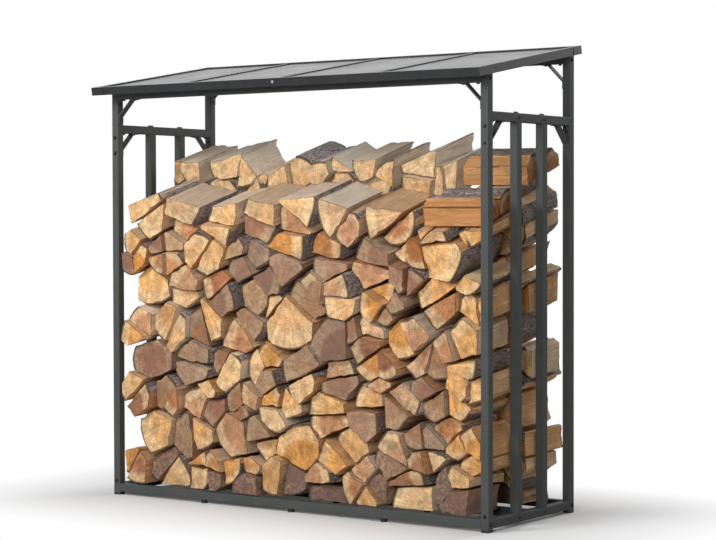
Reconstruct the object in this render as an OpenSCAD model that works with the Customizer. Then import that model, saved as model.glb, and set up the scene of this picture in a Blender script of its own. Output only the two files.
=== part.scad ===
// Free-standing log store: bolted square-tube frame, sheet-metal tray roof falling to the
// front, and two rows of split firewood laid front to back on three base bearers.

/* [Frame] */
// Width over the outer faces of the posts
store_w = 1850; // [1400:10:2400]
// Depth over the outer faces of the posts
store_d = 640; // [500:10:900]
// Outside size of the square frame tube
tube = 34; // [25:1:50]
// Wall of every frame tube
tube_wall = 1.5; // [1:0.25:3]
// Outside corner radius of every frame tube
tube_r = 3; // [2:0.5:5]
// Height of the black foot under each post and bearer
foot_h = 9; // [6:1:20]
// Gap between the ground and the base beams
base_gap = 14; // [8:1:40]
// Top of the rail that joins the two posts of a side
rail_top = 1552; // [1300:1:1640]
// Diameter of the round feet under the base beams
pad_d = 27; // [20:1:40]
// Feet between the posts under each long base beam
pad_count = 3; // [1:1:7]

/* [Roof] */
// Height of the roof's front top edge
roof_front = 1704; // [1680:1:2100]
// Height of the roof's back top edge
roof_back = 1833; // [1760:1:2300]
// Overhang past the posts at each side
over_side = 22; // [10:1:80]
// Overhang past the front posts
over_front = 93; // [40:1:200]
// Overhang past the back posts
over_back = 18; // [10:1:80]
// Height of the folded roof edge
edge_h = 33; // [24:1:60]
// Width of the flanges folded in from the roof edge
edge_flange = 22; // [12:1:26]
// Thickness of the roof edge profiles
edge_t = 1.5; // [1:0.25:2.5]
// Thickness of the roof trays
tray_t = 1; // [0.8:0.1:2]
// Roof trays side by side
tray_count = 4; // [2:1:8]
// Slit between neighbouring trays
seam = 2; // [1:0.5:4]
// Depth to which each tray is pressed inside its rim
tray_press = 4; // [2:0.5:8]
// Width of the raised joint that two trays' rims make
joint_w = 24; // [14:1:40]
// Height of the beams under the roof
roof_beam_h = 30; // [24:1:50]
// Length of the plates that join the roof edge at its corners
corner_len = 60; // [40:1:120]

/* [Sides] */
// Upright slats in each side
slat_count = 2; // [1:1:4]
// Height that a slat's tongue shows above the rail
tongue_h = 6; // [3:1:15]
// Thickness of the tongue
tongue_t = 3; // [2:0.5:5]
// Depth to which the tongue reaches down inside its slat
tongue_root = 60; // [30:5:120]

/* [Braces] */
// Width of the flat strip that the braces are bent from
strip_w = 28; // [20:1:32]
// Thickness of the strip
strip_t = 3; // [2:0.5:5]
// Reach of a brace along its beam and post, to where its bolted ends begin
brace_reach = 70; // [50:1:120]
// Length of the bolted end of each brace
brace_tab = 28; // [16:1:40]

/* [Firewood] */
// How much shorter than half the store's depth the longest log is
log_slack = 8; // [4:1:60]
// Share of its length by which a log may be shorter
log_short = 0.16; // [0:0.01:0.3]
// How far a log may stand back from the face of its row
log_play = 9; // [0:1:20]
// Height that one whole round takes in the stack
log_pitch = 152; // [120:2:220]
// Width that one whole round takes, as a share of its height
log_spread = 1.3; // [1:0.05:1.6]
// Radius of a log's bark, as a share of the reach of its wedge
bark_share = 0.85; // [0.8:0.01:0.95]
// Slope of the topmost logs, which rise towards the back
top_slope = 16; // [0:1:20]
// Height of the front row above the base beams, at its left end
front_stack_left = 1180; // [500:10:1250]
// Height of the front row at its right end
front_stack_right = 1150; // [500:10:1250]
// Height of the back row at its left end
back_stack_left = 1400; // [600:10:1430]
// Height of the back row at its right end
back_stack_right = 1310; // [600:10:1400]
// Gap left between neighbouring logs
log_gap = 0.5; // [0.3:0.1:0.9]
// Gap between the stack and the posts at each end
stack_clear = 2; // [1:0.5:10]
// Height of the crosswise logs that lie on the right end of each row
cross_h = 118; // [80:1:150]
// Seed of the stacking pattern
stack_seed = 50; // [1:1:999]

/* [Hidden] */

half_w = store_w / 2;
half_d = store_d / 2;
in_w = half_w - tube;
in_d = half_d - tube;
base_top = base_gap + tube;
seat = 0.3;

// The roof's own frame: X across, Y up the slope from the front edge, Z square to the sheet.
roof_run = store_d + over_front + over_back;
roof_tilt = atan((roof_back - roof_front) / roof_run);
roof_len = roof_run / cos(roof_tilt);
roof_half = half_w + over_side;
roof_y0 = -half_d - over_front;
roof_z0 = roof_front - edge_h * cos(roof_tilt);
function under_roof(y) = roof_z0 + (y - roof_y0) * tan(roof_tilt);
front_beam_top = min(under_roof(-half_d), under_roof(-in_d));
back_beam_top = min(under_roof(in_d), under_roof(half_d));

steel = "#3c4144";
plastic = "#17181a";
wood_tones = ["#c9985c", "#b98f66", "#d8b27c", "#a78873"];

// ---- shared shapes ----

module rounded(w, h, r) {
    translate([r, 0]) square([w - 2 * r, h]);
    translate([0, r]) square([w, h - 2 * r]);
    for (x = [r, w - r], y = [r, h - r]) translate([x, y]) circle(r = r, $fn = 32);
}

module tube_section(w, h) {
    difference() {
        rounded(w, h, tube_r);
        translate([tube_wall, tube_wall])
            rounded(w - 2 * tube_wall, h - 2 * tube_wall, max(0.4, tube_r - tube_wall));
    }
}

// A tube along X, from x0 to x1, with its section's corner at y, z
module tube_x(x0, x1, y, z, h = tube) {
    translate([x0, y, z]) rotate([90, 0, 90]) linear_extrude(x1 - x0) tube_section(tube, h);
}

// A tube along Y, from y0 to y1, with its section's corner at x, z
module tube_y(y0, y1, x, z) {
    translate([x + tube, y0, z]) rotate([90, 0, 180]) linear_extrude(y1 - y0) tube_section(tube, tube);
}

module on_roof() {
    translate([0, roof_y0, roof_z0]) rotate([roof_tilt, 0, 0]) children();
}

module each_corner() {
    for (sx = [-1, 1], sy = [-1, 1])
        translate([sx * (half_w - tube / 2), sy * (half_d - tube / 2), 0]) children();
}

// ---- posts and base ----

// A corner post, cut along the slope where the roof edge lands on it
module post(sx, sy) {
    x = sx < 0 ? -half_w : in_w;
    y = sy < 0 ? -half_d : in_d;
    color(steel) difference() {
        translate([x, y, foot_h]) linear_extrude(roof_back) tube_section(tube, tube);
        on_roof() translate([-roof_half, -roof_len, 0]) cube([2 * roof_half, 3 * roof_len, 3 * roof_back]);
    }
}

// Moulded foot under each post, with a spigot inside the tube
module post_feet() {
    spigot = tube - 2 * tube_wall - 2 * seat;
    color(plastic) each_corner() {
        translate([-tube / 2, -tube / 2, 0]) linear_extrude(foot_h) rounded(tube, tube, tube_r);
        translate([-spigot / 2, -spigot / 2, 0]) linear_extrude(foot_h + 12) rounded(spigot, spigot, tube_r);
    }
}

module base_front_beam() color(steel) tube_x(-in_w, in_w, -half_d, base_gap);
module base_back_beam() color(steel) tube_x(-in_w, in_w, in_d, base_gap);
module base_middle_beam() color(steel) tube_x(-in_w, in_w, -tube / 2, base_gap);
module base_left_beam() color(steel) tube_y(-in_d, in_d, -half_w, base_gap);
module base_right_beam() color(steel) tube_y(-in_d, in_d, in_w, base_gap);

// Round feet under the three long base beams
module base_feet() {
    color(plastic)
        for (y = [-half_d + tube / 2, 0, half_d - tube / 2], i = [1 : pad_count])
            translate([-in_w + 2 * in_w * i / (pad_count + 1), y, 0]) {
                cylinder(d = pad_d, h = base_gap - 4, $fn = 48);
                cylinder(d = pad_d - 6, h = base_gap, $fn = 48);
            }
}

// ---- sides ----

slat_step = 2 * in_d / (slat_count + 1);
function slat_y(i) = -in_d + slat_step * i - tube / 2;

// Rail between the posts of a side, slotted for the slats' tongues
module rail(x) {
    color(steel) difference() {
        tube_y(-in_d, in_d, x, rail_top - tube);
        for (i = [1 : slat_count])
            translate([x + tube / 2 - tongue_t / 2 - seat, slat_y(i) + tube_wall - seat, rail_top - 2 * tube])
                cube([tongue_t + 2 * seat, tube - 2 * tube_wall + 2 * seat, 3 * tube]);
    }
}

// Upright slats: tubes from the base beam to the rail, each with a tongue through the rail
module slats(x) {
    color(steel) for (i = [1 : slat_count]) {
        translate([x, slat_y(i), base_top])
            linear_extrude(rail_top - tube - base_top) tube_section(tube, tube);
        translate([x + tube / 2 - tongue_t / 2, slat_y(i), rail_top - tube - tongue_root]) {
            translate([0, tube_wall / 2, 0]) cube([tongue_t, tube - tube_wall, tongue_root]);
            translate([0, tube_wall, 0])
                cube([tongue_t, tube - 2 * tube_wall, tongue_root + tube + tongue_h]);
        }
    }
}

module left_rail() rail(-half_w);
module right_rail() rail(in_w);
module left_slats() slats(-half_w);
module right_slats() slats(in_w);

// ---- roof ----

module roof_front_beam() color(steel) tube_x(-in_w, in_w, -half_d, front_beam_top - roof_beam_h, roof_beam_h);
module roof_back_beam() color(steel) tube_x(-in_w, in_w, in_d, back_beam_top - roof_beam_h, roof_beam_h);

// Folded channel: web, top flange and bottom flange
module edge_section(bottom) {
    square([edge_t, edge_h]);
    translate([0, edge_h - edge_t]) square([edge_flange, edge_t]);
    square([bottom, edge_t]);
}

module cross_edge() {
    translate([-roof_half + edge_t, 0, 0])
        rotate([90, 0, 90]) linear_extrude(2 * (roof_half - edge_t)) edge_section(edge_flange);
}

module roof_fascia() color(steel) on_roof() cross_edge();
module roof_back_edge() color(steel) on_roof() translate([0, roof_len, 0]) mirror([0, 1, 0]) cross_edge();

// Side edge: its bottom flange is wide enough to land on the posts
module rake(sx) {
    color(steel) on_roof() scale([sx, 1, 1]) translate([roof_half, 0, 0]) difference() {
        rotate([90, 0, 180]) linear_extrude(roof_len) edge_section(over_side + tube / 2);
        translate([-over_side - tube, 0, 0]) {
            for (y = [-1, roof_len - edge_flange - seat])
                translate([0, y, -1]) cube([over_side + tube - edge_t, edge_flange + seat + 1, edge_h + 2]);
        }
    }
}
module roof_left_rake() rake(-1);
module roof_right_rake() rake(1);

// Plates that wrap the four corners of the roof edge
module roof_corner_plates() {
    color(steel) on_roof() for (sx = [-1, 1], end = [0, 1])
        translate([0, end * roof_len, 0]) scale([sx, end == 0 ? 1 : -1, 1])
            translate([roof_half, 0, 0]) difference() {
                translate([-corner_len, -edge_t, 0]) cube([corner_len + edge_t, corner_len + edge_t, edge_h]);
                translate([-corner_len - 1, 0, -1]) cube([corner_len + 1, corner_len + 1, edge_h + 2]);
            }
}

// A roof tray: a shallow pan with a raised rim all round and a flange folded down at each
// long edge. The rims lie under the roof edge and make the raised joints between trays.
tray_field = 2 * (roof_half - edge_t - seat);
tray_w = (tray_field - (tray_count - 1) * seam) / tray_count;
module tray(i) {
    y0 = edge_t + seat;
    run = roof_len - 2 * y0;
    top = edge_h - edge_t;
    rim = edge_flange - y0;
    joint_rim = (joint_w - seam) / 2;
    x0 = i == 0 ? rim : joint_rim;
    x1 = tray_w - (i == tray_count - 1 ? rim : joint_rim);
    color(steel) on_roof() translate([-tray_field / 2 + i * (tray_w + seam), y0, 0]) {
        difference() {
            union() {
                translate([0, 0, top - tray_t]) cube([tray_w, run, tray_t]);
                translate([x0 - tray_t, rim - tray_t, top - tray_press - tray_t])
                    cube([x1 - x0 + 2 * tray_t, run - 2 * rim + 2 * tray_t, tray_press + tray_t]);
            }
            translate([x0, rim, top - tray_press]) cube([x1 - x0, run - 2 * rim, 2 * tray_press]);
        }
        for (x = [0, tray_w - tray_t]) {
            outer = (i == 0 && x == 0) || (i == tray_count - 1 && x > 0);
            foot = outer ? edge_t : 0;
            translate([x, rim + seat, foot]) cube([tray_t, run - 2 * (rim + seat), top - foot]);
        }
    }
}

// ---- braces ----

// Flat strip bent at both ends, in the corner of X (along the beam) and -Z (down the post)
module brace_outline() {
    t = strip_t;
    end = brace_reach + brace_tab;
    bend = brace_reach + 0.4 * t;
    polygon([
        [end, 0], [end, -t], [bend, -t], [t, -bend], [t, -end], [0, -end],
        [0, -brace_reach + t], [brace_reach - t, 0]]);
}

module brace() {
    translate([0, strip_w / 2, 0]) rotate([90, 0, 0]) linear_extrude(strip_w) brace_outline();
}

module beam_braces(y, z) {
    color(steel) for (sx = [-1, 1])
        translate([sx * in_w, y, z]) scale([-sx, 1, 1]) brace();
}
module front_braces() beam_braces(-half_d + tube / 2, front_beam_top - roof_beam_h);
module back_braces() beam_braces(half_d - tube / 2, back_beam_top - roof_beam_h);

module side_braces(x) {
    color(steel) for (sy = [-1, 1])
        translate([x, sy * in_d, rail_top - tube]) rotate([0, 0, -sy * 90]) brace();
}
module left_braces() side_braces(-half_w + tube / 2);
module right_braces() side_braces(half_w - tube / 2);

// ---- firewood ----

// The stack is a packing of rounds. Each takes the ground nearer to its centre than to any
// other centre and is left whole or split two, three or four ways. A log has bark where an
// arc about its pith rounds it off. The lowest logs lie level, and each course above slopes
// up to the back a little more. At the right end of each row the top course is replaced by a
// pair of crosswise logs, which lie on a shelf of the top course's slope.
layers = 4;
bay_x = in_w - stack_clear;
columns = round(2 * bay_x / (log_pitch * log_spread));
pitch_x = 2 * bay_x / columns;
row_depth = half_d - 2 * seat;
log_len = row_depth - log_slack;
shelf_x = bay_x - log_len - 4 * stack_clear;
smallest_log = 0.1 * log_pitch * log_pitch;
smallest_edge = 0.026 * log_pitch;

function noise(row, j, i, k) =
    rands(-1, 1, 1, stack_seed + 7 * k + 101 * (i + 3) + 3701 * (j + 1) + 90001 * row)[0];
function left_h(row) = row == 0 ? front_stack_left : back_stack_left;
function right_h(row) = row == 0 ? front_stack_right : back_stack_right;
function courses(row) = max(layers, round(max(left_h(row), right_h(row)) / log_pitch));
function stack_h(row, x) = left_h(row) + (right_h(row) - left_h(row)) * (x + bay_x) / (2 * bay_x);
function course_h(row, x) = stack_h(row, x) / courses(row);
function shelf_z(row) = base_top + seat + right_h(row) - 0.75 * cross_h;
function slope(row, j) = top_slope * j / (courses(row) - 1);
function row_y(row) = row == 0 ? -half_d + seat : seat;

function centre(row, j, i) = let (
        x = -bay_x + (i + 0.25 + 0.5 * (j % 2) + 0.24 * noise(row, j, i, 1)) * pitch_x)
    [x, base_top + seat + (j + 0.5 + 0.22 * noise(row, j, i, 2)) * course_h(row, x)];

// The part of the convex outline p on the side of the line through a that n points away from
function cut(p, a, n) = [
    for (k = [0 : len(p) - 1])
        let (q = p[k], r = p[(k + 1) % len(p)], dq = (q - a) * n, dr = (r - a) * n)
            each concat(dq <= 0 ? [q] : [], dq * dr < 0 ? [q + (r - q) * dq / (dq - dr)] : [])];

function cut_all(p, c, others, k = 0) = k == len(others) ? p :
    let (u = (others[k] - c) / norm(others[k] - c))
        cut_all(cut(p, (c + others[k]) / 2 - u * log_gap / 2, u), c, others, k + 1);

// Outline without corners that lie closer together than the smallest edge
function without_chips(p) = [
    for (k = [0 : len(p) - 1]) if (norm(p[k] - p[(k + 1) % len(p)]) > smallest_edge) p[k]];

function middle(p) = [for (a = [0, 1]) [for (q = p) q[a]] * [for (q = p) 1] / len(p)];
function reach(p, c) = max([for (q = p) norm(q - c)]);
function area(p) = len(p) < 3 ? 0 :
    [for (k = [0 : len(p) - 1]) cross(p[k], p[(k + 1) % len(p)])] * [for (q = p) 0.5];

// The ground of one round: its cell of the packing, kept inside the bay
function ground(row, j, i) = let (
        c = centre(row, j, i),
        n = courses(row),
        h = course_h(row, c[0]),
        on_top = j == n - 1,
        x0 = max(-bay_x, c[0] - 1.2 * pitch_x),
        x1 = min(bay_x, c[0] + 1.2 * pitch_x),
        z0 = max(base_top + seat, c[1] - 1.3 * h),
        z1 = c[1] + (on_top ? 0.6 : 1.3) * h,
        box = [[x0, z0], [x1, z0], [x1, z1], [x0, z1]],
        others = [for (dj = [-2 : 2], di = [-2 : 2])
            if ((dj != 0 || di != 0) && j + dj >= 0 && j + dj < n) centre(row, j + dj, i + di)],
        cell = cut_all(box, c, others),
        lean = 34 * noise(row, j, i, 3),
        sloped = on_top ? cut(cell, c + [0, 0.42 * h], [sin(lean), cos(lean)]) : cell,
        top = shelf_z(row) - seat,
        at_shelf = max([for (q = sloped) q[0]]) > shelf_x && max([for (q = sloped) q[1]]) > top)
    without_chips(
        !at_shelf ? sloped
        : c[0] < shelf_x ? cut(sloped, [shelf_x, 0], [1, 0])
        : cut(sloped, [0, top], [0, 1]));

// The pieces that a round is split into: 1 to 4 wedges about a point near its middle
function wedges(p, row, j, i) = let (
        luck = noise(row, j, i, 4),
        ways = luck < -0.86 ? 1 : luck < 0.2 ? 2 : luck < 0.85 ? 3 : 4,
        turn = 180 * noise(row, j, i, 5),
        m = middle(p) + 0.08 * pitch_x * [noise(row, j, i, 6), noise(row, j, i, 7)],
        ray = [for (k = [0 : ways]) turn + 360 * k / ways
            + (k % ways == 0 ? 0 : 14 * noise(row, j, i, 7 + k))])
    ways == 1 ? [p] : [for (k = [0 : ways - 1])
        let (n0 = [sin(ray[k]), -cos(ray[k])], n1 = [-sin(ray[k + 1]), cos(ray[k + 1])])
            without_chips(cut(cut(p, m - n0 * log_gap / 2, n0), m - n1 * log_gap / 2, n1))];

// A course's own frame: its slope turns about the foot of its row, so that courses which meet
// at the row's front edge spread apart towards the back. X across, Y along the logs.
module on_course(row, j) {
    translate([0, row_y(row), 0]) rotate([slope(row, j), 0, 0]) children();
}

function corner(p, k) = let (a = p[(k + len(p) - 1) % len(p)] - p[k], b = p[(k + 1) % len(p)] - p[k])
    acos(a * b / (norm(a) * norm(b)));
function sharpest(p) = let (all = [for (k = [0 : len(p) - 1]) corner(p, k)])
    [for (k = [0 : len(p) - 1]) if (all[k] == min(all)) p[k]][0];

// One log: outline p at the row's front edge, its ends upright. Its bark is an arc about its
// sharpest corner, or about another corner or its middle. It starts near the row's front edge,
// but the lowest logs of the back row keep near its back, over the outer base beam.
module log(p, row, j, i, k) {
    s = slope(row, j);
    q = [for (a = p) [a[0], a[1] * cos(s)]];
    length = log_len * (1 - log_short * abs(noise(row, j, i, 30 + k)));
    play = min(row_depth - length, log_play * abs(noise(row, j, i, 20 + k)));
    y0 = row == 1 && j == 0 ? row_depth - length - play : play;
    luck = abs(noise(row, j, i, 40 + k));
    pith = luck < 0.12 ? middle(q) : luck < 0.75 ? sharpest(q)
        : q[floor(len(q) * abs(noise(row, j, i, 50 + k)))];
    bark_r = reach(q, pith) * (bark_share + 0.05 * noise(row, j, i, 60 + k));
    intersection() {
        on_course(row, j) translate([0, 2 * store_d, 0]) rotate([90, 0, 0])
            linear_extrude(3 * store_d) intersection() {
                polygon(q);
                translate(pith) circle(r = bark_r, $fn = 48);
            }
        translate([-half_w, row_y(row) + y0, 0]) cube([store_w, length, 2 * roof_back]);
    }
}

// Pair of split rounds laid along X on the shelf, flat side down, bark up
module cross_logs(row) {
    j = courses(row) - 1;
    s = slope(row, j);
    shelf = shelf_z(row) * cos(s);
    width = (row_depth / cos(s) - cross_h * tan(s) - log_slack) / 2 - log_gap;
    y0 = (shelf + cross_h) * tan(s) + log_slack / 2;
    on_course(row, j) for (k = [0, 1]) {
        h = cross_h * (1 - 0.12 * k);
        ridge = width * (0.42 + 0.12 * noise(row, 0, k, 70));
        translate([shelf_x + (2 + k) * stack_clear, y0 + k * (width + log_gap), shelf])
            rotate([90, 0, 90]) linear_extrude(log_len) intersection() {
                polygon([
                    [0, 0], [width, 0], [width, 0.5 * h], [ridge + 0.34 * width, 0.92 * h],
                    [ridge, h], [0.06 * width, 0.66 * h]]);
                translate([0.52 * width, 0]) circle(r = 0.93 * h, $fn = 48);
            }
    }
}

module firewood(row, layer) {
    n = courses(row);
    for (j = [0 : n - 1]) if (floor(j * layers / n) == layer)
        color(wood_tones[(j + row) % 4])
            for (i = [0 : columns - 1]) {
                logs = wedges(ground(row, j, i), row, j, i);
                for (k = [0 : len(logs) - 1])
                    if (area(logs[k]) > smallest_log) log(logs[k], row, j, i, k);
            }
    if (layer == layers - 1) color(wood_tones[row]) cross_logs(row);
}

post(-1, -1);  // post_front_left
post(1, -1);  // post_front_right
post(-1, 1);  // post_back_left
post(1, 1);  // post_back_right
post_feet();
base_front_beam();
base_back_beam();
base_middle_beam();
base_left_beam();
base_right_beam();
base_feet();
left_rail();
right_rail();
left_slats();
right_slats();
roof_front_beam();
roof_back_beam();
roof_fascia();
roof_back_edge();
roof_left_rake();
roof_right_rake();
roof_corner_plates();
tray(0);  // roof_tray_1
tray(1);  // roof_tray_2
tray(2);  // roof_tray_3
tray(3);  // roof_tray_4
front_braces();
back_braces();
left_braces();
right_braces();
firewood(0, 0);  // firewood_front_1
firewood(0, 1);  // firewood_front_2
firewood(0, 2);  // firewood_front_3
firewood(0, 3);  // firewood_front_4
firewood(1, 0);  // firewood_back_1
firewood(1, 1);  // firewood_back_2
firewood(1, 2);  // firewood_back_3
firewood(1, 3);  // firewood_back_4
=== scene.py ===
import math
import random

import bmesh
import bpy
from mathutils import Matrix, Vector, noise
from mathutils.bvhtree import BVHTree


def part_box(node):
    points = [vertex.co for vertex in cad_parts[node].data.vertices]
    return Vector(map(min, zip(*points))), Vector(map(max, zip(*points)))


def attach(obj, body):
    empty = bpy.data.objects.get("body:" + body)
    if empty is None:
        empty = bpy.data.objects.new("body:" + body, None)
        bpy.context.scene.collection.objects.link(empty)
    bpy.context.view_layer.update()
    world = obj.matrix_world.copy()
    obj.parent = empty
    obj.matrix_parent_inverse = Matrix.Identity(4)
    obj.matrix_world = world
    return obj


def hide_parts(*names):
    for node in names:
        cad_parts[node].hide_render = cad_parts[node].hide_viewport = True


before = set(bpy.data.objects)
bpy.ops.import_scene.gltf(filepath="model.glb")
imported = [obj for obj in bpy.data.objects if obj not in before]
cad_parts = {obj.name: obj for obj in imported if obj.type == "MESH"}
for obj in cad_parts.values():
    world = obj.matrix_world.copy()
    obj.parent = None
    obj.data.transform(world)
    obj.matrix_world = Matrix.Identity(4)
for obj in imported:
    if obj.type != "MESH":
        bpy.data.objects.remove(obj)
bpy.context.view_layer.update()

# ---- camera ----
# A long lens at chest height looks at the front and the right side, a little downwards.
# The store fills the 716 x 540 frame with a narrow margin.
view_azimuth = math.radians(35.42)
view_drop = math.radians(1.51)
view_roll = math.radians(-0.135)
camera_data = bpy.data.cameras.new("camera")
camera_data.sensor_width = 36.0
camera_data.lens = 100.31
camera = bpy.data.objects.new("camera", camera_data)
camera.matrix_world = (
    Matrix.Translation((4.7696, -6.5497, 1.1627))
    @ Matrix.Rotation(view_azimuth, 4, "Z")
    @ Matrix.Rotation(math.pi / 2 - view_drop, 4, "X")
    @ Matrix.Rotation(view_roll, 4, "Z")
)
bpy.context.scene.collection.objects.link(camera)
bpy.context.scene.camera = camera


# ---- floor, backdrop and lights ----
# A plain pale studio floor that runs on into a white backdrop and keeps a soft shadow. The key
# lamp stands in front on the left and reaches in under the roof. Softer lamps fill in from the
# left, the front right and behind, and the white room adds a little light from all round.
def srgb(code):
    """Linear colour of an sRGB hex code."""
    parts = [int(code[i : i + 2], 16) / 255 for i in (1, 3, 5)]
    linear = [c / 12.92 if c <= 0.04045 else ((c + 0.055) / 1.055) ** 2.4 for c in parts]
    return (*linear, 1.0)


def add(tree, kind, settings=None, **links):
    """Adds a node. The settings name its properties or inputs. Each link feeds the input of its
    name, where "__" stands for a space, or the input of the number after a "_"."""
    node = tree.nodes.new("ShaderNode" + kind)
    for name, value in (settings or {}).items():
        if hasattr(node, str(name)):
            setattr(node, name, value)
        else:
            node.inputs[name].default_value = value
    for name, source in links.items():
        key = int(name[1:]) if name[0] == "_" else name.replace("__", " ")
        tree.links.new(source, node.inputs[key])
    return node


def new_material(name):
    """A material without nodes, and its node tree."""
    material = bpy.data.materials.new(name)
    material.use_nodes = True
    material.node_tree.nodes.clear()
    return material, material.node_tree


def as_object(name, bm, materials):
    """Turns a finished bmesh into an object at the origin."""
    mesh = bpy.data.meshes.new(name)
    bm.to_mesh(mesh)
    bm.free()
    for material in materials:
        mesh.materials.append(material)
    thing = bpy.data.objects.new(name, mesh)
    bpy.context.scene.collection.objects.link(thing)
    return thing


floor_material, tree = new_material("pale_studio_floor")
place = add(tree, "TexCoord").outputs["Object"]
beside = add(tree, "VectorMath", {"operation": "ABSOLUTE"}, _0=place).outputs[0]
half_store = (0.95, 0.34, 0)
beside = add(tree, "VectorMath", {"operation": "SUBTRACT", 1: half_store}, _0=beside).outputs[0]
beside = add(tree, "VectorMath", {"operation": "MAXIMUM", 1: (0, 0, 0)}, _0=beside).outputs[0]
distance = add(tree, "VectorMath", {"operation": "LENGTH"}, _0=beside).outputs["Value"]
fade = add(tree, "MapRange", {"From Max": 0.7, "To Min": 0.05, "To Max": 1.0},
           Value=distance).outputs["Result"]
rays = add(tree, "LightPath").outputs
seen = add(tree, "Math", {"operation": "MULTIPLY"}, _0=rays["Is Camera Ray"], _1=fade).outputs[0]
paper = add(tree, "Mix", {"data_type": "RGBA", 6: srgb("#D2D2D2"), 7: srgb("#F6F6F6")},
            _0=rays["Is Camera Ray"]).outputs[2]
matt = add(tree, "BsdfDiffuse", None, Color=paper).outputs[0]
white = add(tree, "Emission", {"Color": (1, 1, 1, 1), "Strength": 1.0}).outputs[0]
mixed = add(tree, "MixShader", None, Fac=seen, _1=matt, _2=white).outputs[0]
add(tree, "OutputMaterial", None, Surface=mixed)
bm = bmesh.new()
bmesh.ops.create_grid(bm, x_segments=1, y_segments=1, size=40)
as_object("floor", bm, [floor_material])

world = bpy.data.worlds.new("studio")
bpy.context.scene.world = world
bpy.context.scene.view_settings.view_transform = "Standard"
world.use_nodes = True
tree = world.node_tree
tree.nodes.clear()
rays = add(tree, "LightPath").outputs
plain = add(tree, "Math", {"operation": "MAXIMUM"},
            _0=rays["Is Camera Ray"], _1=rays["Is Glossy Ray"]).outputs[0]
plain = add(tree, "Math", {"operation": "MAXIMUM"},
            _0=plain, _1=rays["Is Transmission Ray"]).outputs[0]
level = add(tree, "MapRange", {"To Min": 0.19, "To Max": 1.0}, Value=plain).outputs["Result"]
sky = add(tree, "Background", {"Color": (1, 1, 1, 1)}, Strength=level).outputs[0]
add(tree, "OutputWorld", None, Surface=sky)


def soft_lamp(name, place, size, power):
    """A square lamp that faces the middle of the store."""
    lamp_data = bpy.data.lights.new(name, "AREA")
    lamp_data.size = size
    lamp_data.energy = power
    lamp = bpy.data.objects.new(name, lamp_data)
    aim = Vector((0, 0, 0.9)) - Vector(place)
    turn = aim.to_track_quat("-Z", "Y").to_matrix().to_4x4()
    lamp.matrix_world = Matrix.Translation(place) @ turn
    bpy.context.scene.collection.objects.link(lamp)


soft_lamp("key_lamp", (-1.2, -4.0, 3.2), 1.3, 110)
soft_lamp("left_lamp", (-2.8, -4.7, 2.9), 1.4, 34)
soft_lamp("front_lamp", (2.9, -6.6, 2.2), 1.8, 165)
soft_lamp("back_lamp", (1.2, 5.6, 3.4), 2.0, 160)


# ---- corner posts, beams, rails, slats and braces ----
# Square tube of cold-rolled steel, 34 mm across with 1.5 mm walls, and flat strip bent for
# the braces. Everything is bolted, and all of it has one anthracite powder coat.

# Powder coat: polyester baked on steel. Satin, with an orange peel of about 1.5 mm that is
# drawn 3 mm wide so that it shows, faint pale streaks that run down, part rain marks and part
# painted reflection, and a little dust.
powder_coat, tree = new_material("anthracite_powder_coat")
place = add(tree, "TexCoord").outputs["Object"]
peel = add(tree, "TexNoise", {"Scale": 330, "Detail": 2}, Vector=place).outputs["Fac"]
down = add(tree, "Mapping", {"Scale": (90, 90, 2.2)}, Vector=place).outputs[0]
rain_and_reflection_streaks = add(tree, "TexNoise", {"Scale": 1, "Detail": 4, "Roughness": 0.6},
           Vector=down).outputs["Fac"]
cloud = add(tree, "TexNoise", {"Scale": 7, "Detail": 5, "Roughness": 0.65},
            Vector=place).outputs["Fac"]
# Pale streaks that run down: rain marks and a painted reflection
streak = add(tree, "MapRange", {"From Min": 0.5, "From Max": 0.75, "To Max": 0.25},
             Value=rain_and_reflection_streaks).outputs[0]
dusty = add(tree, "MapRange", {"From Min": 0.4, "From Max": 0.75, "To Max": 0.55},
            Value=cloud).outputs[0]
coat = add(tree, "Mix", {"data_type": "RGBA", 6: srgb("#4B4E4D"), 7: srgb("#595B58")},
           _0=dusty).outputs[2]
coat = add(tree, "Mix", {"data_type": "RGBA", 7: srgb("#62645F")}, _0=streak, _6=coat).outputs[2]
satin = add(tree, "MapRange", {"From Min": 0.3, "From Max": 0.7, "To Min": 0.46, "To Max": 0.62},
            Value=cloud).outputs[0]
relief = add(tree, "Bump", {"Strength": 0.25, "Distance": 0.0004}, Height=peel).outputs[0]
surface = add(tree, "BsdfPrincipled", {"IOR": 1.22, "Metallic": 0.0},
              Base__Color=coat, Roughness=satin, Normal=relief).outputs[0]
add(tree, "OutputMaterial", None, Surface=surface)

frame_nodes = [
    "post_front_left", "post_front_right", "post_back_left", "post_back_right",
    "base_front_beam", "base_back_beam", "base_middle_beam", "base_left_beam", "base_right_beam",
    "left_rail", "right_rail", "left_slats", "right_slats", "roof_front_beam", "roof_back_beam",
    "front_braces", "back_braces", "left_braces", "right_braces"]
for name in frame_nodes:
    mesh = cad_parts[name].data
    mesh.materials.clear()
    mesh.materials.append(powder_coat)

# ---- roof trays, fascia, rakes and corner plates ----
# Four pans pressed from 1 mm steel sheet lie side by side inside a frame of folded channel.
# Plates wrap the frame's corners, and all of it is coated before it is put together.

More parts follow.
